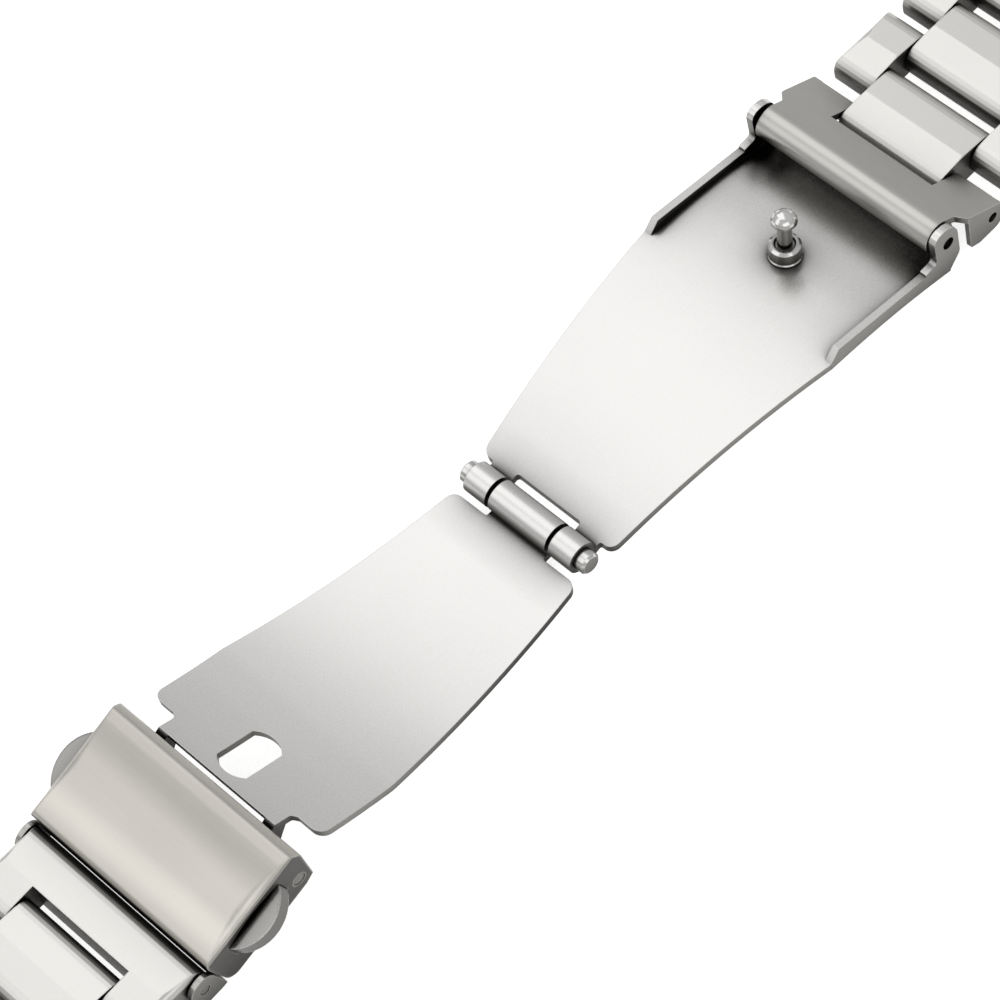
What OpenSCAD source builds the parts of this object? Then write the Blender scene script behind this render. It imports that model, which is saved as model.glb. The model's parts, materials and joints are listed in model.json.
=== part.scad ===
// Steel watch bracelet with a single fold-over clasp, lying open with its outer face up.
// X runs along the strap towards the 12 o'clock side, Y across it, Z up.

/* [Blades] */
// Thickness of the blade sheet
sheet_t = 0.7; // [0.5:0.05:0.9]
// Radius that both blades are bent to
bend_r = 72; // [60:1:95]
// Outer radius of the middle hinge's knuckles
knuckle_r = 1.45; // [1.3:0.05:1.7]
// Slope of the hole blade where it leaves the middle hinge
slope_a = 4.5; // [2:0.5:7]
// Slope of the stud blade where it leaves the middle hinge
slope_b = 17.2; // [14:0.2:19]
// Length of the hole blade from the middle hinge to its hinge tabs
len_a = 34.75; // [33:0.25:38]
// Length of the stud blade from the middle hinge to its end
len_b = 39.6; // [38:0.2:44]
// Width of the hole blade at the middle hinge
mid_w_a = 14.1; // [13.2:0.1:15]
// Width of the stud blade at the middle hinge
mid_w_b = 14.8; // [13.2:0.1:16]
// Width of the hole blade's wide part
wide_w_a = 19.5; // [18.4:0.1:19.5]
// Width over the stud blade's side flanges
wide_w_b = 21.1; // [21.1:0.1:22]
// Length along each blade at which its taper ends
taper_l = 25.2; // [22:0.2:27]
// Height of the side flanges above the stud blade
flange_h = 1.0; // [0.8:0.1:1.3]

/* [Middle hinge] */
// Length of the middle knuckle
knuckle_w = 6.5; // [5:0.1:8]
// Gap beside each knuckle
knuckle_gap = 0.4; // [0.2:0.05:0.6]
// Distance over the two outer knuckles
hinge_w = 12.2; // [11.6:0.1:13]
// Radius of the middle pin
mid_pin_r = 0.75; // [0.6:0.05:0.85]
// Radius of the middle pin's heads
mid_head_r = 1.0; // [0.9:0.05:1.2]
// Length of each head of the middle pin
mid_head_l = 1.0; // [0.6:0.1:1.3]

/* [Latch stud] */
// Place of the stud along the stud blade
stud_l = 31; // [30.6:0.1:31.4]
// Height of the stud above the blade
stud_h = 5.2; // [4.8:0.1:5.3]
// Radius of the stud's collar
collar_r = 1.4; // [1.2:0.05:1.5]
// Height of the stud's collar
collar_h = 1.5; // [1.1:0.1:1.5]
// Radius of the stud's neck
neck_r = 0.65; // [0.5:0.05:0.75]
// Radius of the stud's head
head_r = 1.13; // [0.95:0.01:1.2]
// Radius of the hole in the hole blade
hole_r = 2.45; // [2.4:0.05:2.6]
// Distance between the two flats of that hole
hole_flats = 3.4; // [3.2:0.1:3.8]

/* [Cover] */
// Width of the clasp cover
cover_w = 20.8; // [20.4:0.1:21]
// Length of the clasp cover
cover_l = 11; // [10.4:0.1:11.6]
// Angle at which the open cover stands
cover_tilt = 18.2; // [16:0.2:19]
// Wall of the cover's sides
cover_wall = 1.2; // [1:0.05:1.3]
// Sheet of the cover's top
cover_top = 0.85; // [0.6:0.05:1]
// Height of the cover's top above its hinge pin
pin_to_top = 3.75; // [3.6:0.05:4]
// Depth of the cover's side walls below its hinge pin
pin_to_edge = 1.45; // [1.3:0.05:1.5]
// Distance from the cover's front edge back to its hinge pin
pin_inset = 1.45; // [1.4:0.05:1.6]
// Radius of the cover's hinge pin
cover_pin_r = 0.6; // [0.45:0.05:0.65]
// Distance of the cover's hinge pin under the hole blade's face
pin_drop = 2.7; // [2.6:0.05:2.9]

/* [Push buttons] */
// Length of each push button along the strap
button_l = 6.2; // [5:0.1:6.3]
// Height of each button's lower face above the cover's hinge pin
button_up = 0.65; // [0.5:0.05:0.7]
// Thickness of each button
button_t = 1.55; // [1.2:0.05:1.6]
// How far each button stands out of the cover
button_out = 1.7; // [1.2:0.05:1.9]
// Radius of each button's rounded outline
button_r = 3.8; // [3.6:0.1:5]
// Thickness of the two sprung catch plates
catch_t = 0.9; // [0.6:0.05:0.95]

/* [Connector] */
// Width of the connector's rolled nose
nose_w = 19.06; // [18:0.1:19.5]
// Outer radius of the rolled nose
nose_r = 1.6; // [1.5:0.05:1.7]
// Sheet thickness of the connector
conn_t = 0.7; // [0.6:0.05:0.75]
// Slope of the connector's top plate
conn_slope = 27; // [25:0.5:29]
// Width over the connector's side walls and over the cover bracket's ears
ear_w = 20.9; // [20.9:0.05:21.2]
// Radius of the tips of the end hinge bar
bar_tip_r = 0.55; // [0.4:0.05:0.7]

/* [Links] */
// Width of the link rows over all
link_w = 19.6; // [19:0.1:19.6]
// Width of the centre links
centre_w = 11; // [9:0.1:12]
// Thickness of the links
link_t = 3.3; // [3:0.05:3.4]
// Height of the link pins above the links' inner face
pin_up = 1.35; // [1.2:0.05:1.45]
// Distance between two neighbouring link pins
pin_pitch = 4.3; // [4.2:0.05:4.8]
// Distance between the two pins of a full-width link
fork_pitch = 5.35; // [5.2:0.05:6]
// How far a link reaches past its pin
link_end = 1.55; // [1.45:0.01:1.6]
// Radius of the link pins
link_pin_r = 0.5; // [0.35:0.01:0.6]
// Rise of the low ridge across each link
ridge_h = 0.3; // [0.15:0.01:0.4]

/* [Watch bars] */
// Outer radius of the spring bars' tubes
tube_r = 0.9; // [0.85:0.01:0.95]
// Radius of the spring bars' tips
tip_r = 0.4; // [0.3:0.01:0.45]
// Length of each tip that goes into the watch's lug
tip_l = 1.0; // [0.8:0.05:1.2]

/* [Clearances] */
// Radial clearance of a pin that turns in its bore
run_gap = 0.05; // [0.03:0.01:0.08]
// Radial clearance of a pin that is pressed in
seat_gap = 0.01; // [0:0.005:0.02]
// Side clearance between pieces that turn beside each other
side_gap = 0.15; // [0.1:0.01:0.2]

/* [Hidden] */
$fn = 48;
face_drop = knuckle_r - sheet_t;
radian = 180 / PI;
normal_a = [-sin(slope_a), cos(slope_a)];
normal_b = [-sin(slope_b), cos(slope_b)];
centre_a = (bend_r - face_drop) * normal_a;
centre_b = -(bend_r + face_drop) * normal_b;
tall = 24;
wide = 40;
segments = 6;

// Angle, and point (X, Z), at a length along each blade; lift is the height above its face
function angle_a(l) = slope_a - l / bend_r * radian;
function angle_b(l) = slope_b - l / bend_r * radian;
function on_a(l, lift = 0) = centre_a + (bend_r - lift) * [sin(angle_a(l)), -cos(angle_a(l))];
function on_b(l, lift = 0) = centre_b + (bend_r + lift) * [-sin(angle_b(l)), cos(angle_b(l))];

// Hinge pin of the cover, under the hole blade's tongue
pin_back = 0.5;
tongue = on_a(len_a);
cover_pin_at = on_a(len_a, -pin_drop) - pin_back * [cos(angle_a(len_a)), sin(angle_a(len_a))];
function in_cover_xz(u, n) = cover_pin_at
    + u * [cos(cover_tilt), sin(cover_tilt)] + n * [-sin(cover_tilt), cos(cover_tilt)];

// End hinge on the stud blade's lugs
lug_rise = 2.97;
lug_back = 0.73;
end_at = on_b(len_b, lug_rise) - lug_back * [cos(angle_b(len_b)), sin(angle_b(len_b))];

// First link pins on the two sides
cover_rear = pin_inset - cover_l;
ear_behind = 1.5;
ear_up = 1.28;
ear_at = in_cover_xz(cover_rear - ear_behind, ear_up);
join_run = 5.27;
join_drop = 2.38;
join_at = end_at + [join_run, -join_drop];

// Chain of links: centre and side links take turns, and a full-width link ends each chain
centres_12 = 6;
centres_6 = 5;
pins_12 = [for (k = [0 : 2 * centres_12 - 1]) join_at + [k * pin_pitch, 0]];
pins_6 = [for (k = [0 : 2 * centres_6 - 1]) ear_at - [fork_pitch + k * pin_pitch, 0]];
bar_12 = pins_12[2 * centres_12 - 1] + [fork_pitch, 0];
bar_6 = pins_6[2 * centres_6 - 1] - [fork_pitch, 0];

// Row frame: middle of the length, bottom of the lowest blade
floor_z = centre_a[1] - bend_r - sheet_t;
bar_end = 1.3;
to_home = [-(bar_12[0] + bar_6[0]) / 2, 0, -floor_z];

hole_shift = 0.25;
knuckle_side = knuckle_w / 2 + knuckle_gap;
arm_y = centre_w / 2 + side_gap;
link_y = link_w / 2;
wall_y = ear_w / 2;
ear_t = (ear_w - link_w) / 2 - side_gap;
lug_y = wide_w_b / 2;
catch_x = -4.2;
catch_z = -0.1;
slot_gap = 0.05;
catch_low = catch_z - catch_t / 2;
button_high = button_up + button_t;
inner_y = cover_w / 2 - cover_wall;
neck_w_a = 13.5;
tab_w = 1.1;
eye_r = 1.2;

// Outline with rounded corners from points [x, y, radius]
function unit(v) = v / norm(v);
function turn(a) = a > 180 ? a - 360 : a < -180 ? a + 360 : a;
function xy(p) = [p[0], p[1]];
function corner(a, p, b, r) = r <= 0 ? [p] :
    let (u = unit(a - p), v = unit(b - p), half = acos(u * v) / 2,
         c = p + unit(u + v) * (r / sin(half)), reach = r / tan(half),
         s = p + u * reach - c, e = p + v * reach - c,
         from = atan2(s[1], s[0]), sweep = turn(atan2(e[1], e[0]) - from))
    [for (i = [0 : segments]) c + r * [cos(from + sweep * i / segments), sin(from + sweep * i / segments)]];
function rounded(pts) = let (n = len(pts)) [for (i = [0 : n - 1])
    each corner(xy(pts[(i + n - 1) % n]), xy(pts[i]), xy(pts[(i + 1) % n]), pts[i][2])];

// Coil of n turns along Y, swept as one closed tube
function coil_point(r, len, turns, t) = let (a = 360 * turns * t) [r * cos(a), len * (t - 0.5), r * sin(a)];
function coil_ring(r, len, turns, t, wire, sides) =
    let (c = coil_point(r, len, turns, t), out = unit([c[0], 0, c[2]]),
         along = unit([-out[2] * r * 2 * PI * turns, len, out[0] * r * 2 * PI * turns]),
         up = cross(along, out))
    [for (k = [0 : sides - 1]) c + wire * (out * cos(360 * k / sides) + up * sin(360 * k / sides))];
// Least gap between turns of a coil [r, len, turns, wire], over points 3/4 of a turn apart or more
function coil_gap(c) = let (steps = round(c[2] * 12),
    points = [for (i = [0 : steps]) coil_point(c[0], c[1], c[2], i / steps)])
    min([for (i = [0 : steps - 9], j = [i + 9 : steps]) norm(points[i] - points[j])]) - 2 * c[3];
module coil(r, len, turns, wire) {
    sides = 6;
    steps = round(turns * 12);
    points = [for (i = [0 : steps]) each coil_ring(r, len, turns, i / steps, wire, sides)];
    skin = [for (i = [0 : steps - 1], k = [0 : sides - 1])
        let (a = i * sides + k, b = i * sides + (k + 1) % sides)
        each [[a, b, b + sides], [a, b + sides, a + sides]]];
    ends = [[for (k = [sides - 1 : -1 : 0]) k], [for (k = [0 : sides - 1]) steps * sides + k]];
    polyhedron(points, concat(skin, ends));
}

module across(w) rotate([90, 0, 0]) linear_extrude(w, center = true) children();
module between(y0, y1) translate([0, (y0 + y1) / 2, 0]) across(y1 - y0) children();
module along(len) rotate([90, 0, 90]) linear_extrude(len, center = true) children();
module both_sides() { children(); mirror([0, 1, 0]) children(); }
module rod(r, w) rotate([90, 0, 0]) cylinder(h = w, r = r, center = true);
module at(p) translate([p[0], 0, p[1]]) children();
module home() translate(to_home) children();
module in_cover() at(cover_pin_at) rotate([0, -cover_tilt, 0]) children();
module plan(low = -4) translate([0, 0, low]) linear_extrude(tall) children();

// Sheet bent round the Y axis, and one side of an outline that is symmetric about the X axis
module bent_sheet(r0, r1, w = wide) across(w) difference() { circle(r1, $fn = 360); circle(r0, $fn = 360); }
function on_side(pts, side) = let (n = len(pts)) [for (i = [0 : n - 1])
    let (p = pts[side > 0 ? i : n - 1 - i]) [p[0], side * p[1], p[2]]];

// Hole blade, bent upwards, with the middle knuckle and two hinge tabs
module blade_a() home() color("silver") difference() {
    union() {
        intersection() {
            at(centre_a) bent_sheet(bend_r, bend_r + sheet_t);
            plan() difference() {
                polygon(rounded(concat(half_plan_a(1), half_plan_a(-1))));
                translate([on_a(stud_l + hole_shift)[0], 0]) intersection() {
                    circle(hole_r);
                    square([2 * hole_r, hole_flats], center = true);
                }
            }
        }
        rod(knuckle_r, knuckle_w);
        both_sides() between(neck_w_a / 2 - tab_w, neck_w_a / 2) {
            polygon([tongue, on_a(len_a - 1.2), on_a(len_a - 1.2, -sheet_t),
                cover_pin_at + eye_r * [cos(-40), sin(-40)], cover_pin_at,
                cover_pin_at + eye_r * [cos(125), sin(125)]]);
            translate(cover_pin_at) circle(eye_r);
        }
    }
    rod(mid_pin_r + run_gap, wide);
    at(cover_pin_at) rod(cover_pin_r + run_gap, wide);
}
// Half outline of the hole blade in plan; side is 1 or -1
function half_plan_a(side) = let (pts = [
    [0, knuckle_w / 2, 0],
    [on_a(1.9)[0], knuckle_w / 2, 0.2],
    [on_a(1.9)[0], mid_w_a / 2, 1],
    [on_a(taper_l)[0], wide_w_a / 2, 6],
    [on_a(len_a - 1.95)[0], wide_w_a / 2, 1],
    [on_a(len_a - 1.95)[0], neck_w_a / 2 + 0.5, 0.3],
    [on_a(len_a - 1.6)[0], neck_w_a / 2, 0.3],
    [tongue[0], neck_w_a / 2, 0.15]])
    on_side(pts, side);

// Stud blade, bent downwards, with side flanges and lugs
module blade_b() home() color("gainsboro") difference() {
    union() {
        intersection() {
            ring_b(0);
            plan(-6) polygon(rounded(concat(half_plan_b(1), half_plan_b(-1))));
        }
        both_sides() {
            intersection() {
                translate([0, lug_y - sheet_t / 2, 0]) ring_b(flange_h, sheet_t);
                between(0, lug_y) polygon([
                    on_b(taper_l, -sheet_t), on_b(taper_l), on_b(taper_l + flange_h, flange_h),
                    on_b(len_b, flange_h), on_b(len_b, -sheet_t), on_b(taper_l + 7, -4)]);
            }
            between(lug_y - sheet_t, lug_y) translate(end_at) polygon(rounded([
                [-1.5, 1.95, 0.9], [1.2, 1.75, 1.5], [1.15, -2.3, 0.9], [lug_foot[0], lug_foot[1], 0.1],
                [lug_back_low[0], lug_back_low[1], 0.1], [lug_back_top[0], lug_back_top[1], 0.1],
                [-1.5, lug_back_top[1] + 0.1, 0.4]]));
            between(knuckle_side, hinge_w / 2) circle(knuckle_r);
        }
    }
    rod(mid_pin_r + run_gap, wide);
    at(end_at) rod(bar_tip_r + run_gap, wide);
    in_b(stud_l) translate([0, 0, -sheet_t - 1]) cylinder(h = sheet_t + 2, r = neck_r + seat_gap);
    rod(knuckle_r + 0.1, 2 * knuckle_side);
}
lug_foot = on_b(len_b - 0.1, -sheet_t) - end_at;
lug_back_low = on_b(len_b - 3.3, -sheet_t) - end_at;
lug_back_top = on_b(len_b - 3.1, flange_h) - end_at;
module ring_b(lift, w = wide) at(centre_b) bent_sheet(bend_r - sheet_t, bend_r + lift, w);
module in_b(l) at(on_b(l)) rotate([0, -angle_b(l), 0]) children();
// Half outline of the stud blade in plan; side is 1 or -1
function half_plan_b(side) = let (pts = [
    [on_b(2.25)[0], knuckle_side, 0.3],
    [0, knuckle_side, 0],
    [0, hinge_w / 2, 0],
    [on_b(1.9)[0], hinge_w / 2, 0.2],
    [on_b(1.9)[0], mid_w_b / 2, 1],
    [on_b(taper_l)[0], lug_y, 2],
    [on_b(len_b)[0], lug_y, 0.2]])
    on_side(pts, side);

// Turned stud, riveted through the stud blade
module stud() home() color("whitesmoke") in_b(stud_l) rotate_extrude() polygon(concat(
    [[0, -sheet_t], [neck_r, -sheet_t], [neck_r, 0], [collar_r + 0.1, 0], [collar_r + 0.1, 0.15]],
    [[collar_r, 0.25], [collar_r, collar_h - 0.2], [collar_r - 0.25, collar_h]],
    [[neck_r + 0.3, collar_h], [neck_r + 0.15, collar_h - 0.2], [neck_r, collar_h - 0.2]],
    [[neck_r, stud_h - 1.35], [head_r - 0.15, stud_h - 1.1]],
    [for (i = [0 : 6]) [head_r * cos(15 * i), stud_h - 0.95 + 0.95 * sin(15 * i)]]));

// Middle pin with one turned head, and the cap pressed on its other end
module mid_head() {
    rim = 0.2;
    rotate([90, 0, 0]) cylinder(h = mid_head_l - rim, r = mid_head_r);
    translate([0, rim - mid_head_l, 0]) rotate([90, 0, 0])
        cylinder(h = rim, r1 = mid_head_r, r2 = mid_head_r - rim);
}
head_y = hinge_w / 2 + run_gap;
rivet_r = 0.45;
module mid_pin() home() color("silver") union() {
    rod(mid_pin_r, 2 * head_y);
    translate([0, -head_y, 0]) mid_head();
    translate([0, head_y, 0]) rod(rivet_r, mid_head_l);
}
module mid_pin_cap() home() color("silver") translate([0, head_y, 0]) mirror([0, 1, 0]) difference() {
    mid_head();
    rod(rivet_r + seat_gap, mid_head_l);
}

// Clasp cover: pressed shell with a domed top, pin holes and arched button slots
dome_r = 30;
dome_steps = 24;
dome_in = 1.3;
nose_lean = 0.3;
function dome(u) = pin_to_top - pow(u - (pin_inset + cover_rear) / 2, 2) / (2 * dome_r);
cover_side = rounded(concat(
    [[cover_rear, 1.5, 0], [cover_rear + 0.1, -pin_to_edge + 0.1, 1.1], [0, -pin_to_edge, 0]],
    [[pin_inset - 0.45, -pin_to_edge + 0.3, 0.15], [pin_inset + nose_lean, pin_to_top - 1.4, 0.5]],
    [[pin_inset - 0.3, dome(pin_inset), 0.6]],
    [for (i = [0 : dome_steps]) let (u = pin_inset - dome_in - i * (cover_l - 2 * dome_in) / dome_steps)
        [u, dome(u), 0]],
    [[cover_rear, dome(cover_rear), 0.7]]));
module cover() home() color("tan") in_cover() difference() {
    intersection() {
        across(cover_w) polygon(cover_side);
        along(3 * cover_l) polygon(rounded([[-cover_w / 2, -3, 0], [cover_w / 2, -3, 0],
            [cover_w / 2, pin_to_top, 1], [-cover_w / 2, pin_to_top, 1]]));
    }
    across(2 * inner_y) polygon([
        [cover_rear + end_wall, -3], [cover_rear + end_wall, dome(cover_rear + end_wall) - cover_top],
        [catch_x, pin_to_top - cover_top], [pin_inset - end_wall, dome(pin_inset) - cover_top],
        [pin_inset - end_wall, -3]]);
    both_sides() open_end(pin_inset, neck_w_a / 2 - tab_w - side_gap, neck_w_a / 2 + side_gap, 1.9);
    open_end(cover_rear, -inner_y, inner_y, 0.4);
    rod(cover_pin_r + seat_gap, wide);
    across(wide) intersection() {
        translate([catch_x, button_high + arch_h - arch_r]) circle(arch_r, $fn = 96);
        translate([catch_x - slot_l / 2, button_up - slot_gap]) square([slot_l, pin_to_top]);
    }
}
end_wall = 0.8;
// Slot in each side wall, with an arched top edge over the button
slot_l = button_l + 2 * slot_gap;
arch_h = 0.6;
arch_r = (pow(slot_l / 2, 2) + pow(arch_h - slot_gap, 2)) / (2 * (arch_h - slot_gap));
// Opening in one end wall of the cover, from below up to a height over the hinge pin
module open_end(u, y0, y1, top) translate([u - 1, y0, -3]) cube([2, y1 - y0, top + 3]);

// Bracket inside the cover: plate under the catches, bar through the rear opening, two link ears
plate_low = -pin_to_edge + 0.1;
plate_t = 0.6;
mouth_r = collar_r + 0.25;
bar_low = plate_low + plate_t - 0.1;
rear_bar = 0.6;
ear_round = 1.4;
module latch_frame() home() color("gray") in_cover() difference() {
    union() {
        level(plate_low, plate_t) polygon(rounded([
            [-1.7, -inner_y + 0.05, 0.3], [-1.7, inner_y - 0.05, 0.3],
            [cover_rear + rear_bar, inner_y - 0.05, 0], [cover_rear + rear_bar, -inner_y + 0.05, 0]]));
        level(bar_low, plate_t) union() {
            translate([cover_rear - rear_bar, -inner_y + 0.05])
                square([2 * rear_bar + 0.3, 2 * inner_y - 0.1]);
            translate([cover_rear - rear_bar, -wall_y]) square([rear_bar - side_gap, 2 * wall_y]);
        }
        both_sides() {
            between(wall_y - ear_t, wall_y) polygon(rounded([
                [cover_rear - side_gap, bar_low, 0], [cover_rear - side_gap, ear_up + ear_round, 1.1],
                [cover_rear - ear_behind - ear_round, ear_up + ear_round, 1.4],
                [cover_rear - ear_behind - ear_round, ear_up - ear_round - 0.2, 1],
                [cover_rear - rear_bar, bar_low, 0.2]]));
            translate([cover_rear + 1, inner_y - 0.75, plate_low]) cube([1, 0.7, 3.5]);
        }
    }
    translate([catch_x, 0, plate_low - 1]) cylinder(h = 3, r = mouth_r);
    translate([catch_x, -mouth_r, plate_low - 1]) cube([5, 2 * mouth_r, 3]);
    translate([cover_rear - ear_behind, 0, ear_up]) rod(link_pin_r + seat_gap, wide);
}
module level(low, t) translate([0, 0, low]) linear_extrude(t) children();
module cover_pin() home() color("silver") at(cover_pin_at) rod(cover_pin_r, cover_w - 0.1);
module ear_pin() home() color("silver") at(ear_at) rod(link_pin_r, ear_w - 0.1);

// Sprung catch plate: the button stands out of the cover, and its hook grips the stud from the far side
// It is drawn where the stud's head just passes; from there it springs out to grip, or is pressed in
hook_y = head_r + 0.07;
hook_reach = 2.6;
arm_w = 1.1;
body_y = 4.6;
grip_travel = hook_y - neck_r - 0.1;
shoulder_y = inner_y - grip_travel - slot_gap;
shoulder_l = 1;
tab_relief = 0.5;
module catch_plate(front) translate([catch_x, 0, 0]) {
    level(catch_low, catch_t) union() {
        translate([-front * tab_relief / 2, 0]) translate([-(button_l - tab_relief) / 2, body_y])
            square([button_l - tab_relief, shoulder_y - body_y]);
        translate([button_l / 2 - arm_w, -hook_reach]) square([arm_w, hook_reach + body_y - 0.1]);
        translate([button_l / 2 - arm_w, body_y - 0.5]) square([arm_w - tab_relief, 1]);
        translate([-0.85, -hook_reach]) square([button_l / 2 + 0.85, hook_reach - hook_y]);
    }
    level(catch_low, button_high - catch_low) translate([-button_l / 2, shoulder_y - shoulder_l])
        square([button_l, shoulder_l]);
    level(button_up, button_t) intersection() {
        translate([-button_l / 2, shoulder_y - shoulder_l]) square([button_l, 10]);
        translate([0, cover_w / 2 + button_out - button_r]) circle(button_r, $fn = 96);
    }
}
module catch_left() home() color("darkgray") in_cover() catch_plate(1);
module catch_right() home() color("darkgray") in_cover()
    translate([2 * catch_x, 0, 0]) rotate([0, 0, 180]) catch_plate(-1);
spring_len = body_y - hook_reach;
spring_x = (button_l - arm_w) / 2;
catch_coil = [0.42, spring_len - 0.26, 2.5, 0.1];
module catch_spring(side) translate([catch_x - side * spring_x, side * (hook_reach + body_y) / 2, catch_z])
    coil(catch_coil[0], catch_coil[1], catch_coil[2], catch_coil[3]);
module catch_spring_left() home() color("lightgray") in_cover() catch_spring(1);
module catch_spring_right() home() color("lightgray") in_cover() catch_spring(-1);

// Stamped connector: rolled nose round the end hinge bar, sloping plate, wings and side walls
plate_start = nose_r * [sin(conn_slope), cos(conn_slope)];
function conn_plate(x) = plate_start[1] - (x - plate_start[0]) * tan(conn_slope);
conn_end = join_run + 1.1;
wall_x = 2.6;
notch_x = join_run - link_end - side_gap - 0.1;
bar_r = nose_r - conn_t;
lip_angle = 192;
cheek_t = 1.2;
module connector() home() color("dimgray") at(end_at) difference() {
    union() {
        difference() {
            rod(nose_r, nose_w);
            rod(bar_r, wide);
            across(wide) polygon([[0, 0], for (a = [lip_angle, 240, 300, 360, 440 - conn_slope])
                3 * nose_r * [cos(a), sin(a)]]);
        }
        both_sides() between(nose_w / 2 - cheek_t, nose_w / 2) circle(nose_r - 0.05);
        intersection() {
            across(ear_w) polygon([plate_start, [conn_end, conn_plate(conn_end)],
                [conn_end, conn_plate(conn_end) - conn_t / cos(conn_slope)],
                plate_start - plate_start * conn_t / nose_r]);
            plan(-8) difference() {
                polygon(rounded(concat(half_wing(1), half_wing(-1))));
                translate([notch_x, -arm_y]) square([9, 2 * arm_y]);
            }
        }
        both_sides() between(wall_y - ear_t, wall_y) polygon(rounded([
            [wall_x, conn_plate(wall_x), 0.2], [wall_x - 0.1, -join_drop - 1.2, 0.2],
            [wall_x + 0.9, -join_drop - 1.6, 0.6], [join_run + 0.9, -join_drop - 1.6, 1.2],
            [join_run + 1.55, -join_drop + 0.1, 0.8], [conn_end, conn_plate(conn_end), 0.1]]));
    }
    rod(bar_tip_r + run_gap, wide);
    translate([join_run, 0, -join_drop]) rod(link_pin_r + seat_gap, wide);
}
// Half outline of the connector's plate in plan; side is 1 or -1
function half_wing(side) = on_side([[conn_end, wall_y, 0], [wall_x, wall_y, 0.5],
    [wall_x - 0.8, nose_w / 2, 0.4], [0, nose_w / 2, 0]], -side);
module end_hinge_bar() home() color("silver") at(end_at) union() {
    rod(bar_r - run_gap, nose_w - 2 * cheek_t - 0.1);
    rod(bar_tip_r, wide_w_b - 0.7);
}
module connector_pin() home() color("silver") at(join_at) rod(link_pin_r, ear_w - 1);

// Section of a link between two pins, at the pins' height; front and back are what lies past each pin
link_round = 1.5;
link_round_low = 1;
function link_section(run, front, back) = let (low = -pin_up, high = link_t - pin_up) rounded([
    [back, low, link_round_low], [back, high - ridge_h, link_round],
    [-run / 2 + (back - front) / 2, high, 0],
    [-run - front, high - ridge_h, link_round], [-run - front, low, link_round_low]]);
module row(y0, y1, outer) along(8 * wide) polygon(rounded([
    [y0, -4, 0], [y1, -4, 0], [y1, link_t - pin_up, outer], [y0, link_t - pin_up, 0.12]]));
module centre_link(p) color("gainsboro") at(p) difference() {
    intersection() {
        across(centre_w) polygon(link_section(pin_pitch, link_end, link_end));
        both_sides() row(-0.5, centre_w / 2, 0.12);
    }
    rod(link_pin_r + run_gap, wide);
    translate([-pin_pitch, 0, 0]) rod(link_pin_r + run_gap, wide);
}
module side_links(p) color("gainsboro") at(p) both_sides() difference() {
    intersection() {
        between(arm_y, link_y) polygon(link_section(pin_pitch, link_end, link_end));
        row(arm_y, link_y, 0.8);
    }
    rod(link_pin_r + seat_gap, wide);
    translate([-pin_pitch, 0, 0]) rod(link_pin_r + seat_gap, wide);
}
module link_pin(p) color("silver") at(p) rod(link_pin_r, link_w - 0.4);
module side_pins(p) { link_pin(p); link_pin(p - [pin_pitch, 0]); }

// Full-width link with two arms; the bar end carries its own pin or a spring bar
fork_front = 1.0;
notch_gap = 0.65;
module fork_link(front, bar_r, arm_gap) difference() {
    intersection() {
        across(link_w) polygon(link_section(fork_pitch, link_end, front));
        both_sides() row(-0.5, link_y, 0.8);
    }
    translate([-fork_pitch + link_end + notch_gap - 10, -arm_y, -6]) cube([10, 2 * arm_y, 12]);
    rod(bar_r, wide);
    translate([-fork_pitch, 0, 0]) rod(link_pin_r + arm_gap, wide);
}
module first_link_6() home() color("gainsboro") at(ear_at)
    fork_link(fork_front, link_pin_r + run_gap, seat_gap);
module first_pin_6() home() link_pin(pins_6[0]);
module end_link_12() home() color("gainsboro") at(bar_12) fork_link(bar_end, tube_r + seat_gap, seat_gap);
module end_link_6() home() color("gainsboro") at(bar_6) mirror([1, 0, 0])
    fork_link(bar_end, tube_r + seat_gap, seat_gap);
module end_pin_12() home() link_pin(pins_12[2 * centres_12 - 1]);
module end_pin_6() home() link_pin(pins_6[2 * centres_6 - 1]);

// Spring bar: tube with a lip at each end, two sprung tips and the coil between them
tube_wall = 0.12;
lip_l = 0.4;
shank_l = 4;
shoulder_r = tip_r + 0.17;
shoulder_out = 0.1;
tube_len = link_w - 0.2;
bar_coil = [0.5, tube_len - 2 * (lip_l + run_gap + shank_l) - 0.3, 9, 0.1];
module bar_tube(p) color("silver") at(p) difference() {
    rod(tube_r, tube_len);
    rod(tube_r - tube_wall, tube_len - 2 * lip_l);
    rod(shoulder_r + run_gap, wide);
}
// Sprung tip: shank in the tube, shoulder in the tube's lip, and the thin end for the watch's lug
module bar_tip(p, side) color("whitesmoke") at(p) {
    shank_y = tube_len / 2 - lip_l - run_gap;
    end_y = link_w / 2 + shoulder_out;
    to_side(side) between(shank_y - shank_l, shank_y) circle(tube_r - tube_wall - run_gap);
    to_side(side) between(shank_y, end_y) circle(shoulder_r);
    to_side(side) between(end_y, end_y + tip_l) circle(tip_r);
}
module to_side(side) mirror([0, side > 0 ? 0 : 1, 0]) children();
module bar_spring(p) color("lightgray") at(p) coil(bar_coil[0], bar_coil[1], bar_coil[2], bar_coil[3]);
echo(str("Least gap between turns, catch springs: ", coil_gap(catch_coil)));
echo(str("Least gap between turns, spring bars: ", coil_gap(bar_coil)));

module centre_12(k) home() centre_link(pins_12[2 * k - 1]);
module sides_12(k) home() side_links(pins_12[2 * k]);
module pair_12(k) home() side_pins(pins_12[2 * k]);
module centre_6(k) home() centre_link(pins_6[2 * k - 2]);
module sides_6(k) home() side_links(pins_6[2 * k - 1]);
module pair_6(k) home() side_pins(pins_6[2 * k - 1]);

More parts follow.
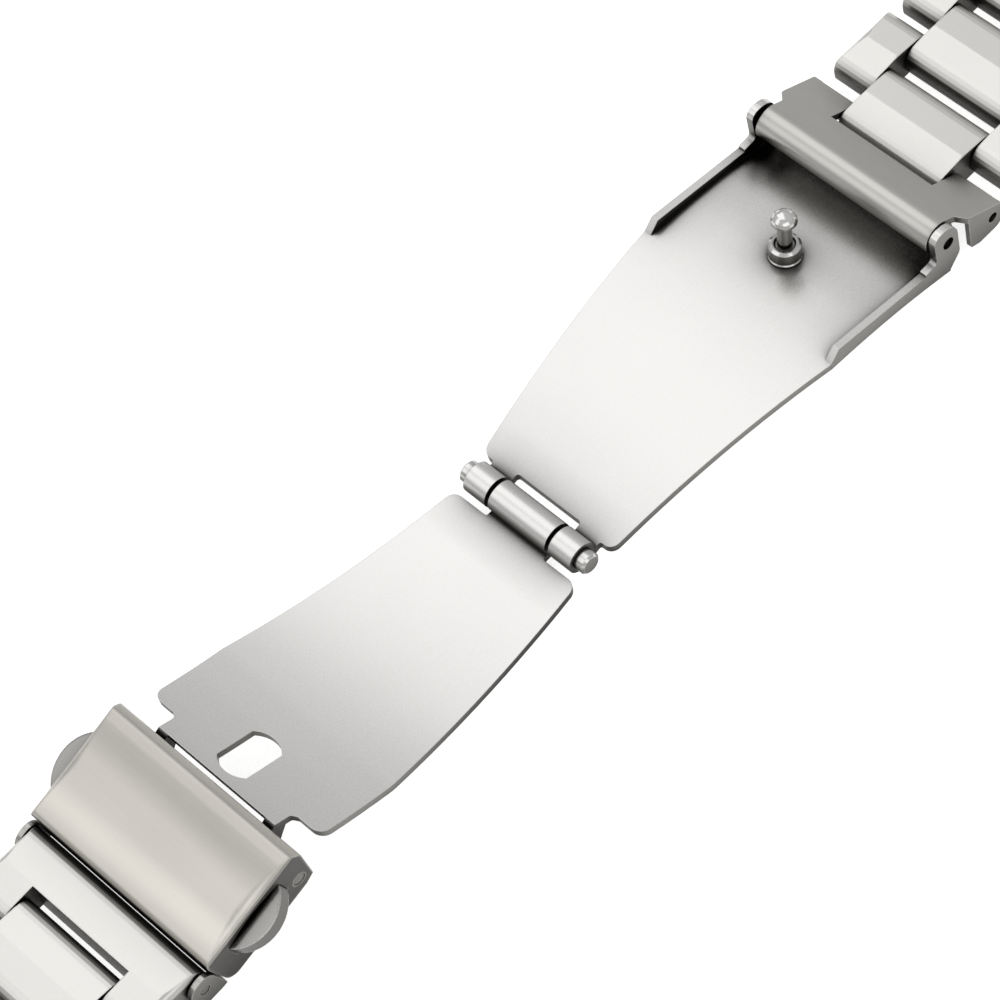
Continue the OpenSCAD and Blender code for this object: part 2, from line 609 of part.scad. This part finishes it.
blade_a();
blade_b();
stud();
mid_pin();
mid_pin_cap();
cover();
latch_frame();
cover_pin();
catch_left();
catch_right();
catch_spring_left();
catch_spring_right();
connector();
end_hinge_bar();
connector_pin();
centre_12(1);  // centre_12_1
centre_12(2);  // centre_12_2
centre_12(3);  // centre_12_3
centre_12(4);  // centre_12_4
centre_12(5);  // centre_12_5
centre_12(6);  // centre_12_6
sides_12(1);  // sides_12_1
sides_12(2);  // sides_12_2
sides_12(3);  // sides_12_3
sides_12(4);  // sides_12_4
sides_12(5);  // sides_12_5
pair_12(1);  // pins_12_1
pair_12(2);  // pins_12_2
pair_12(3);  // pins_12_3
pair_12(4);  // pins_12_4
pair_12(5);  // pins_12_5
end_link_12();
end_pin_12();
home() bar_tube(bar_12);  // bar_tube_12
home() bar_spring(bar_12);  // bar_spring_12
home() bar_tip(bar_12, 1);  // bar_tip_12_left
home() bar_tip(bar_12, -1);  // bar_tip_12_right
first_link_6();
ear_pin();
first_pin_6();
centre_6(1);  // centre_6_1
centre_6(2);  // centre_6_2
centre_6(3);  // centre_6_3
centre_6(4);  // centre_6_4
centre_6(5);  // centre_6_5
sides_6(1);  // sides_6_1
sides_6(2);  // sides_6_2
sides_6(3);  // sides_6_3
sides_6(4);  // sides_6_4
pair_6(1);  // pins_6_1
pair_6(2);  // pins_6_2
pair_6(3);  // pins_6_3
pair_6(4);  // pins_6_4
end_link_6();
end_pin_6();
home() bar_tube(bar_6);  // bar_tube_6
home() bar_spring(bar_6);  // bar_spring_6
home() bar_tip(bar_6, 1);  // bar_tip_6_left
home() bar_tip(bar_6, -1);  // bar_tip_6_right
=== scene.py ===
import json
import math

import bpy
from mathutils import Matrix, Vector


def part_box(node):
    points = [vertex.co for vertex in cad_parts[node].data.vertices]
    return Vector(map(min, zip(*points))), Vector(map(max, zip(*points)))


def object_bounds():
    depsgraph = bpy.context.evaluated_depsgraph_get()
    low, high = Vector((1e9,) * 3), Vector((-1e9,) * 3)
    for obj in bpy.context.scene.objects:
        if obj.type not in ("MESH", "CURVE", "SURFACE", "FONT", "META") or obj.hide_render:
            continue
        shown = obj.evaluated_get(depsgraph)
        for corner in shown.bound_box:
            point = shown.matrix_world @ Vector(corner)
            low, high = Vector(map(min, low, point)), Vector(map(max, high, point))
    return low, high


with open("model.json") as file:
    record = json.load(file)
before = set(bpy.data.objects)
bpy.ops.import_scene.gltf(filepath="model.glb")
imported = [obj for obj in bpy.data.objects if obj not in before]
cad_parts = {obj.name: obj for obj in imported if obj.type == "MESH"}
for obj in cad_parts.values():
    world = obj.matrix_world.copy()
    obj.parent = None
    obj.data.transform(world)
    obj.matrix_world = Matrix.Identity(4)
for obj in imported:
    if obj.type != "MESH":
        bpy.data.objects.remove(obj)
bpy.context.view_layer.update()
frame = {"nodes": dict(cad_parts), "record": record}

nodes = frame["nodes"]
mm = 0.001


# Node groups shared by the steels

def newGroup(name, inputs, outputs):
    group = bpy.data.node_groups.new(name, "ShaderNodeTree")
    for label, kind in inputs:
        group.interface.new_socket(label, in_out="INPUT", socket_type=kind)
    for label, kind in outputs:
        group.interface.new_socket(label, in_out="OUTPUT", socket_type=kind)
    return group, group.nodes.new("NodeGroupInput"), group.nodes.new("NodeGroupOutput")


# A node with its inputs set or linked: i0, i1 and so on mean an input by number, other words its name
def addNode(tree, kind, settings=None, **links):
    node = tree.nodes.new(kind)
    for key, value in (settings or {}).items():
        setattr(node, key, value)
    for key, value in links.items():
        socket = node.inputs[int(key[1:])] if key[0] == "i" and key[1:].isdigit() else node.inputs[key]
        if isinstance(value, bpy.types.NodeSocket):
            tree.links.new(value, socket)
        else:
            socket.default_value = value
    return node


def mathNode(tree, operation, a, b=0.0, clamp=False):
    settings = {"operation": operation, "use_clamp": clamp}
    return addNode(tree, "ShaderNodeMath", settings, i0=a, i1=b).outputs[0]


# Goes from the colour of a socket to a fixed colour as the factor goes from 0 to 1
def blend(tree, factor, before, after):
    mix = addNode(tree, "ShaderNodeMix", {"data_type": "RGBA"}, Factor=factor)
    tree.links.new(before, mix.inputs["A"])
    mix.inputs["B"].default_value = (*after, 1.0)
    return mix.outputs["Result"]


# Scales count per metre; bandStretch draws the bands out along the grain
grainSizes = {
    "streakScale": 1000.0, "streakDetail": 3.0, "streakRoughness": 0.6,
    "hazeScale": 110.0, "hazeDetail": 2.0, "hazeRoughness": 0.5,
    "bandStretch": 0.05, "bandDetail": 1.0, "bandRoughness": 0.4,
}


# Fine parallel scratches, turned from the piece's X, with a cloudy haze and broad bands along them
def makeGrain():
    group, given, made = newGroup("fineGrain", [
        ("Along", "NodeSocketFloat"), ("Across", "NodeSocketFloat"), ("Turn", "NodeSocketFloat"),
        ("Band", "NodeSocketFloat"),
    ], [("Streak", "NodeSocketFloat"), ("Haze", "NodeSocketFloat"), ("Bands", "NodeSocketFloat")])
    place = addNode(group, "ShaderNodeTexCoord").outputs["Object"]
    turned = addNode(group, "ShaderNodeVectorRotate", {"rotation_type": "Z_AXIS"},
                     Vector=place, Angle=given.outputs["Turn"]).outputs[0]
    stretch = addNode(group, "ShaderNodeCombineXYZ", None, X=given.outputs["Along"],
                      Y=given.outputs["Across"], Z=given.outputs["Across"]).outputs[0]
    scaled = addNode(group, "ShaderNodeVectorMath", {"operation": "MULTIPLY"},
                     i0=turned, i1=stretch).outputs[0]
    streak = addNode(group, "ShaderNodeTexNoise", None, Vector=scaled, Scale=grainSizes["streakScale"],
                     Detail=grainSizes["streakDetail"], Roughness=grainSizes["streakRoughness"])
    haze = addNode(group, "ShaderNodeTexNoise", None, Vector=place, Scale=grainSizes["hazeScale"],
                   Detail=grainSizes["hazeDetail"], Roughness=grainSizes["hazeRoughness"])
    broad = addNode(group, "ShaderNodeCombineXYZ", None,
                    X=grainSizes["bandStretch"], Y=1.0, Z=1.0).outputs[0]
    spread = addNode(group, "ShaderNodeVectorMath", {"operation": "MULTIPLY"},
                     i0=turned, i1=broad).outputs[0]
    pitch = mathNode(group, "DIVIDE", 1.0, given.outputs["Band"])
    bands = addNode(group, "ShaderNodeTexNoise", None, Vector=spread, Scale=pitch,
                    Detail=grainSizes["bandDetail"], Roughness=grainSizes["bandRoughness"])
    group.links.new(bands.outputs["Fac"], made.inputs["Bands"])
    group.links.new(streak.outputs["Fac"], made.inputs["Streak"])
    group.links.new(haze.outputs["Fac"], made.inputs["Haze"])
    return group


edgeSizes = {"samples": 4}


# Mask of the outer edges of a piece, where the edge colour is painted: a lighter one is a painted highlight
# and a darker one painted shade, and the normal that rounds them
def makeEdge():
    group, given, made = newGroup("paintedEdgeLight", [
        ("Radius", "NodeSocketFloat"), ("Gain", "NodeSocketFloat"),
    ], [("Mask", "NodeSocketFloat"), ("Normal", "NodeSocketVector")])
    soft = addNode(group, "ShaderNodeBevel", {"samples": edgeSizes["samples"]},
                   Radius=given.outputs["Radius"]).outputs[0]
    flat = addNode(group, "ShaderNodeNewGeometry").outputs["Normal"]
    match = addNode(group, "ShaderNodeVectorMath", {"operation": "DOT_PRODUCT"},
                    i0=soft, i1=flat).outputs["Value"]
    lost = mathNode(group, "SUBTRACT", 1.0, match)
    mask = mathNode(group, "MULTIPLY", lost, given.outputs["Gain"], clamp=True)
    group.links.new(mask, made.inputs["Mask"])
    group.links.new(soft, made.inputs["Normal"])
    return group


# Upward parts of the normal: the painted shade in gaps fades out from offFloorHigh down to offFloorLow, and
# a face is upright, and gets painted side shade, up to uprightLow and no longer upright from uprightHigh
shadeSizes = {
    "samples": 16, "offFloorLow": -0.5, "offFloorHigh": 0.1, "uprightLow": 0.15, "uprightHigh": 0.6,
}


# Masks of painted shade: where a piece lies close to its neighbours, apart from its underside, and on its
# upright faces
def makeShade():
    group, given, made = newGroup("closeShade", [
        ("Reach", "NodeSocketFloat"), ("Depth", "NodeSocketFloat"),
    ], [("Gap", "NodeSocketFloat"), ("Side", "NodeSocketFloat")])
    clear = addNode(group, "ShaderNodeAmbientOcclusion", {"samples": shadeSizes["samples"]},
                    Distance=given.outputs["Reach"])
    shut = mathNode(group, "SUBTRACT", 1.0, clear.outputs["AO"])
    flat = addNode(group, "ShaderNodeNewGeometry").outputs["Normal"]
    upward = addNode(group, "ShaderNodeSeparateXYZ", None, Vector=flat).outputs["Z"]
    offFloor = addNode(group, "ShaderNodeMapRange", {"interpolation_type": "SMOOTHSTEP"}, i0=upward,
                       i1=shadeSizes["offFloorLow"], i2=shadeSizes["offFloorHigh"],
                       i3=0.0, i4=1.0).outputs[0]
    deep = mathNode(group, "MULTIPLY", shut, given.outputs["Depth"], clamp=True)
    shadeInGaps = mathNode(group, "MULTIPLY", deep, offFloor)
    own = addNode(group, "ShaderNodeVectorTransform",
                  {"vector_type": "NORMAL", "convert_from": "WORLD", "convert_to": "OBJECT"},
                  Vector=flat).outputs[0]
    ownUpward = addNode(group, "ShaderNodeSeparateXYZ", None, Vector=own).outputs["Z"]
    rise = mathNode(group, "ABSOLUTE", ownUpward)
    sideShade = addNode(group, "ShaderNodeMapRange", {"interpolation_type": "SMOOTHSTEP"}, i0=rise,
                   i1=shadeSizes["uprightLow"], i2=shadeSizes["uprightHigh"], i3=1.0, i4=0.0).outputs[0]
    group.links.new(shadeInGaps, made.inputs["Gap"])
    group.links.new(sideShade, made.inputs["Side"])
    return group


fineGrain = makeGrain()
paintedEdgeLight = makeEdge()
closeShade = makeShade()
noiseMiddle = 0.5


# Brushed or polished steel; turn is the angle of the grain from the piece's X
def makeSteel(name, look):
    material = bpy.data.materials.new(name)
    material.use_nodes = True
    tree = material.node_tree
    tree.nodes.clear()
    grain = addNode(tree, "ShaderNodeGroup", {"node_tree": fineGrain}, Along=look["along"],
                    Across=look["across"], Turn=math.radians(look["turn"]), Band=look["bandWidth"] * mm)
    edge = addNode(tree, "ShaderNodeGroup", {"node_tree": paintedEdgeLight}, Radius=look["edgeRadius"] * mm,
                   Gain=look["edgeGain"])
    streak = mathNode(tree, "SUBTRACT", grain.outputs["Streak"], noiseMiddle)
    haze = mathNode(tree, "SUBTRACT", grain.outputs["Haze"], noiseMiddle)
    band = mathNode(tree, "SUBTRACT", grain.outputs["Bands"], noiseMiddle)
    bright = mathNode(tree, "ADD", 1.0, mathNode(tree, "MULTIPLY", streak, look["streakTone"]))
    for part, tone in ((haze, look["hazeTone"]), (band, look["bandTone"])):
        bright = mathNode(tree, "ADD", bright, mathNode(tree, "MULTIPLY", part, tone))
    plain = addNode(tree, "ShaderNodeVectorMath", {"operation": "SCALE"},
                    i0=look["color"], Scale=bright).outputs[0]
    shade = addNode(tree, "ShaderNodeGroup", {"node_tree": closeShade}, Reach=look["shadeReach"] * mm,
                    Depth=look["shadeDepth"])
    # Painted shade on upright faces, darker than the steel's own colour
    sideShade = blend(tree, shade.outputs["Side"], plain, look["sideShadeColor"])
    # Edge colour over the edges: a light one is a painted highlight, a dark one painted shade
    edgeLit = blend(tree, edge.outputs["Mask"], sideShade, look["paintedEdgeColor"])
    # Painted shade where a piece lies close to its neighbours
    toned = blend(tree, shade.outputs["Gap"], edgeLit, look["paintedShadeColor"])
    scratched = mathNode(tree, "MULTIPLY", streak, look["streakRough"])
    rough = mathNode(tree, "ADD", look["roughness"], scratched)
    bump = addNode(tree, "ShaderNodeBump", None, Strength=look["bump"], Distance=look["bumpHeight"] * mm,
                   Height=grain.outputs["Streak"], Normal=edge.outputs["Normal"])
    lay = math.radians(look["turn"])
    tangent = addNode(tree, "ShaderNodeVectorTransform",
                      {"vector_type": "VECTOR", "convert_from": "OBJECT", "convert_to": "WORLD"},
                      Vector=(math.cos(lay), -math.sin(lay), 0.0))
    surface = addNode(tree, "ShaderNodeBsdfPrincipled", None, Metallic=1.0, Roughness=rough,
                      Anisotropic=look["anisotropy"], Normal=bump.outputs[0], Tangent=tangent.outputs[0])
    tree.links.new(toned, surface.inputs["Base Color"])
    output = addNode(tree, "ShaderNodeOutputMaterial")
    tree.links.new(surface.outputs[0], output.inputs["Surface"])
    return material


# Radius, reach, width and height are in millimetres and turn is in degrees
brushed = {
    "color": (0.80, 0.785, 0.755), "roughness": 0.34, "anisotropy": 0.45,
    "along": 0.25, "across": 14.0, "turn": 0.0,
    "streakTone": 0.10, "streakRough": 0.12, "hazeTone": 0.05, "bandTone": 0.0, "bandWidth": 3.0,
    "bump": 0.12, "bumpHeight": 0.02,
    # A painted highlight on the edges
    "paintedEdgeColor": (0.88, 0.87, 0.84), "edgeRadius": 0.12, "edgeGain": 3.0,
    # Painted shade in gaps between pieces
    "paintedShadeColor": (0.03, 0.028, 0.025), "shadeReach": 4.0, "shadeDepth": 1.3,
    "sideShadeColor": (0.26, 0.255, 0.24),
# Painted shade on upright faces
}
looks = {
    "linkSteel": {**brushed},
    "bladeSteel": {**brushed, "color": (0.80, 0.79, 0.775), "roughness": 0.28, "edgeRadius": 0.08,
                   # Blade edges get darker painted shade, and its gaps deeper painted shade
                   "paintedEdgeColor": (0.50, 0.49, 0.47), "edgeGain": 2.5, "shadeReach": 4.2, "shadeDepth": 2.3,
                   "streakTone": 0.06, "streakRough": 0.06, "bump": 0.05},
    "coverSteel": {**brushed, "color": (0.67, 0.645, 0.595), "turn": 90.0, "hazeTone": 0.08,
                   "streakTone": 0.16, "bandTone": 0.65, "paintedEdgeColor": (0.80, 0.78, 0.73), "edgeRadius": 0.3,
                   "sideShadeColor": (0.12, 0.117, 0.11)},
    "claspSteel": {**brushed, "color": (0.62, 0.61, 0.58), "turn": 90.0, "streakTone": 0.14,
                   "paintedEdgeColor": (0.85, 0.84, 0.81), "edgeGain": 4.0},
    "buttonSteel": {**brushed, "color": (0.40, 0.395, 0.38), "roughness": 0.2, "anisotropy": 0.0,
                    # Button rims get a bright painted highlight
                    "streakTone": 0.04, "paintedEdgeColor": (0.95, 0.94, 0.92), "edgeGain": 5.0,
                    "edgeRadius": 0.25, "sideShadeColor": (0.20, 0.195, 0.185)},
    "polishedSteel": {**brushed, "color": (0.78, 0.775, 0.76), "roughness": 0.12, "anisotropy": 0.0,
                      "streakTone": 0.02, "streakRough": 0.03, "bump": 0.02},
    "pinSteel": {**brushed, "color": (0.50, 0.49, 0.47), "roughness": 0.22, "anisotropy": 0.0,
                 # Pin ends get a dark rim of painted shade
                 "streakTone": 0.02, "paintedEdgeColor": (0.03, 0.03, 0.028), "edgeGain": 6.0, "edgeRadius": 0.14,
                 "sideShadeColor": (0.24, 0.235, 0.225)},
    "springSteel": {**brushed, "color": (0.60, 0.60, 0.60), "roughness": 0.22, "anisotropy": 0.0,
                    "streakTone": 0.02, "edgeRadius": 0.02},
}
steels = {name: makeSteel(name, look) for name, look in looks.items()}
print("materials:", ", ".join(steels))


# The record's slot names give each piece its steel
slotSteel = {
    "link_steel": "linkSteel", "blade_steel": "bladeSteel", "cover_steel": "coverSteel",
    "clasp_steel": "claspSteel", "polished_steel": "polishedSteel", "spring_steel": "springSteel",
}
# Starts of the names of pieces whose finish differs from their slot's: buttons are polished with a painted
# highlight on their rims, and pin ends have a dark rim of painted shade
pieceSteel = {
    "catch_": "buttonSteel", "pins_": "pinSteel", "cover_pin": "pinSteel", "ear_pin": "pinSteel",
    "connector_pin": "pinSteel", "first_pin": "pinSteel", "end_pin": "pinSteel",
}
smoothBelow = {"angle": 32.0}


def dressNodes():
    slots = {part["node"]: part["material_slot"] for part in frame["record"]["subparts"]}
    for name, obj in nodes.items():
        obj.data.materials.clear()
        own = [steel for start, steel in pieceSteel.items()
               if name.startswith(start) and "spring" not in name]
        obj.data.materials.append(steels[own[0] if own else slotSteel[slots[name]]])
        obj.data.shade_smooth()
        obj.data.set_sharp_from_angle(angle=math.radians(smoothBelow["angle"]))


dressNodes()
print("pieces dressed:", len(nodes))


lowestPoint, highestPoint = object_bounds()
middle = (lowestPoint + highestPoint) / 2

# White paper floor, which the camera sees brighter than the steel mirrors it
stageSizes = {"floorSide": 4.0, "floorColor": (0.93, 0.93, 0.93), "floorGlow": 0.7, "mirroredGlow": 0.28}


def makeFloor():
    half = stageSizes["floorSide"] / 2
    mesh = bpy.data.meshes.new("floor")
    corners = [(x + middle.x, y + middle.y, lowestPoint.z) for x, y in
               ((-half, -half), (half, -half), (half, half), (-half, half))]
    mesh.from_pydata(corners, [], [(0, 1, 2, 3)])
    floor = bpy.data.objects.new("floor", mesh)
    bpy.context.scene.collection.objects.link(floor)
    material = bpy.data.materials.new("floorPaper")
    material.use_nodes = True
    tree = material.node_tree
    tree.nodes.clear()
    paper = addNode(tree, "ShaderNodeBsdfDiffuse", None, Color=(*stageSizes["floorColor"], 1.0))
    seenFrom = addNode(tree, "ShaderNodeLightPath")
    facing = addNode(tree, "ShaderNodeNewGeometry")
    direct = mathNode(tree, "MULTIPLY", seenFrom.outputs["Is Camera Ray"], stageSizes["floorGlow"])
    mirrored = mathNode(tree, "MULTIPLY", seenFrom.outputs["Is Glossy Ray"], stageSizes["mirroredGlow"])
    glow = addNode(tree, "ShaderNodeEmission", None, Strength=mathNode(tree, "ADD", direct, mirrored))
    above = addNode(tree, "ShaderNodeAddShader")
    tree.links.new(paper.outputs[0], above.inputs[0])
    tree.links.new(glow.outputs[0], above.inputs[1])
    clear = addNode(tree, "ShaderNodeBsdfTransparent")
    both = addNode(tree, "ShaderNodeMixShader", None, Fac=facing.outputs["Backfacing"])
    tree.links.new(above.outputs[0], both.inputs[1])
    tree.links.new(clear.outputs[0], both.inputs[2])
    output = addNode(tree, "ShaderNodeOutputMaterial")
    tree.links.new(both.outputs[0], output.inputs["Surface"])
    mesh.materials.append(material)


makeFloor()

# Each lamp faces the middle of the part; place is its way from there in metres, size its two sides
lamps = {
    "overhead": {"place": (0.16, 0.41, 0.78), "size": (0.6, 0.9), "watts": 1.1},
    "left": {"place": (-0.55, 0.35, 0.65), "size": (0.6, 0.6), "watts": 0.7},
    "front": {"place": (-0.25, -0.75, 0.60), "size": (0.9, 0.6), "watts": 1.1},
}


def makeLamp(name, lamp):
    data = bpy.data.lights.new(name, "AREA")
    data.shape = "RECTANGLE"
    data.size, data.size_y = lamp["size"]
    data.energy = lamp["watts"]
    obj = bpy.data.objects.new(name, data)
    bpy.context.scene.collection.objects.link(obj)
    obj.location = middle + Vector(lamp["place"])
    obj.rotation_mode = "QUATERNION"
    obj.rotation_quaternion = (middle - obj.location).to_track_quat("-Z", "Y")


for lampName, lampSizes in lamps.items():
    makeLamp(lampName, lampSizes)

# The room is lighter overhead than at the height of the table, and the camera sees plain white behind it
room = {
    "low": 0.44, "high": 0.56, "from": 0.0, "to": 0.7, "color": (1.0, 1.0, 1.0),
    "behind": 1.0, "behindColor": (1.0, 1.0, 1.0),
}


def makeRoom():
    world = bpy.data.worlds.new("room")
    world.use_nodes = True
    tree = world.node_tree
    tree.nodes.clear()
    seenFrom = addNode(tree, "ShaderNodeLightPath")
    way = addNode(tree, "ShaderNodeTexCoord").outputs["Generated"]
    height = addNode(tree, "ShaderNodeSeparateXYZ", None, Vector=way).outputs["Z"]
    level = addNode(tree, "ShaderNodeMapRange", {"interpolation_type": "SMOOTHSTEP"}, i0=height,
                    i1=room["from"], i2=room["to"], i3=room["low"], i4=room["high"]).outputs[0]
    around = addNode(tree, "ShaderNodeBackground", None, Color=(*room["color"], 1.0), Strength=level)
    behind = addNode(tree, "ShaderNodeBackground", None, Color=(*room["behindColor"], 1.0),
                     Strength=room["behind"])
    mix = addNode(tree, "ShaderNodeMixShader", None, Fac=seenFrom.outputs["Is Camera Ray"])
    tree.links.new(around.outputs[0], mix.inputs[1])
    tree.links.new(behind.outputs[0], mix.inputs[2])
    output = addNode(tree, "ShaderNodeOutputWorld")
    tree.links.new(mix.outputs[0], output.inputs["Surface"])
    bpy.context.scene.world = world


makeRoom()
print("stage: floor,", len(lamps), "lamps and the room")


# Camera, placed from the middle hinge pin as in the photograph; angles in degrees, distances, lens and
# sensor in millimetres, the nearest and farthest point it sees in metres
cameraView = {
    "azimuth": -30.049, "elevation": 57.127, "roll": -17.846,
    "distance": 367.55, "right": -2.302, "up": 1.357,
    "lens": 163.97, "sensor": 36.0, "nearest": 0.01, "farthest": 10.0,
}


def makeCamera():
    turn, rise, roll = (math.radians(cameraView[key]) for key in ("azimuth", "elevation", "roll"))
    back = Vector((math.sin(turn) * math.cos(rise), -math.cos(turn) * math.cos(rise), math.sin(rise)))
    levelRight = Vector((0.0, 0.0, 1.0)).cross(back).normalized()
    levelUp = back.cross(levelRight)
    right = levelRight * math.cos(roll) + levelUp * math.sin(roll)
    up = back.cross(right)
    pinLow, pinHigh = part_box("mid_pin")
    pin = (pinLow + pinHigh) / 2
    pin.y = 0.0
    data = bpy.data.cameras.new("camera")
    data.lens = cameraView["lens"]
    data.sensor_width = cameraView["sensor"]
    data.dof.use_dof = False
    data.clip_start, data.clip_end = cameraView["nearest"], cameraView["farthest"]
    camera = bpy.data.objects.new("camera", data)
    bpy.context.scene.collection.objects.link(camera)
    camera.rotation_mode = "QUATERNION"
    camera.rotation_quaternion = Matrix((right, up, back)).transposed().to_quaternion()
    offset = back * cameraView["distance"] + right * cameraView["right"] + up * cameraView["up"]
    camera.location = pin + offset * mm
    bpy.context.scene.camera = camera


makeCamera()
bpy.context.scene.view_settings.view_transform = "Standard"
print("camera: lens", cameraView["lens"], "mm")
